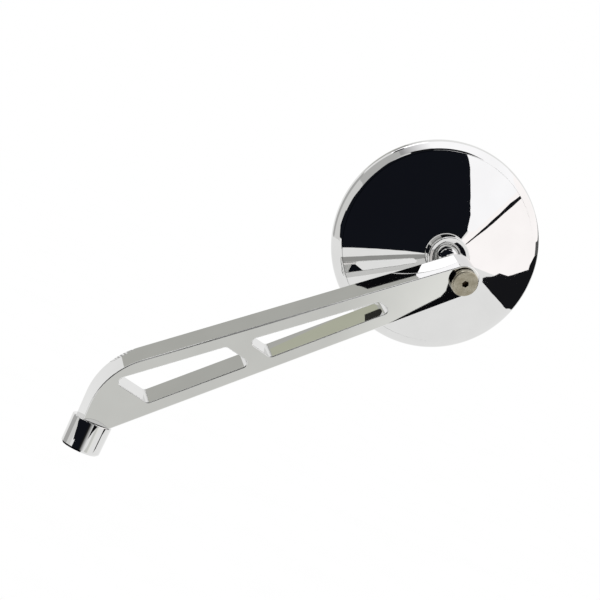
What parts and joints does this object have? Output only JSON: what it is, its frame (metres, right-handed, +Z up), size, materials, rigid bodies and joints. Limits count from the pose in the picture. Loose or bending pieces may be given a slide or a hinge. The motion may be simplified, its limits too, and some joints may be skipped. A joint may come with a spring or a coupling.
{
  "type": "motorcycle mirror",
  "caption": "Round chrome mirror head with a conical back and rolled rim, on a ball joint at the tip of a tapered, slotted stem that bends into a threaded boss.",
  "frame": {"origin": "centre of the boss's end face, at the mouth of its threaded hole", "axes": "+Z up the boss, away from its end face; the stem reaches to +X and leans to -Y; the glass faces +Y"},
  "size_m": [0.185, 0.0743, 0.2042],
  "materials": {
    "plated_metal": "polished chrome plating",
    "screw_metal": "turned steel, warm tint",
    "spring_steel": "oiled spring steel",
    "plate_metal": "black primer",
    "liner_plastic": "natural acetal",
    "foam": "closed-cell foam",
    "mirror_glass": "silvered convex glass",
    "gasket_rubber": "black rubber"
  },
  "bodies": {
    "stem": {"stem": "plated_metal", "ball_stud": "plated_metal", "pivot_screw": "screw_metal", "lock_washer": "spring_steel"},
    "rear_liner": {"rear_liner": "liner_plastic"},
    "front_liner": {"front_liner": "liner_plastic"},
    "head": {"ball_collar": "plated_metal", "spring_seat": "spring_steel", "disc_springs": "spring_steel", "housing": "plated_metal", "rim_bezel": "plated_metal", "backing_plate": "plate_metal", "foam_pad": "foam", "mirror_glass": "mirror_glass", "glass_gasket": "gasket_rubber"}
  },
  "joints": [
    {"name": "head_pan", "type": "hinge", "parent": "stem", "child": "rear_liner", "pos_m": [0.11977, -0.0144, 0.15091], "axis": [-0.1045, -0.2574, 0.9606], "range_deg": [-6, 26]},
    {"name": "head_tilt", "type": "hinge", "parent": "rear_liner", "child": "front_liner", "pos_m": [0.11977, -0.0144, 0.15091], "axis": [0.9794, -0.1944, 0.0545], "range_deg": [-5, 27]},
    {"name": "head_spin", "type": "hinge", "parent": "front_liner", "child": "head", "pos_m": [0.11977, -0.0144, 0.15091], "axis": [0.1895, 0.9783, 0.0841], "continuous": true}
  ]
}
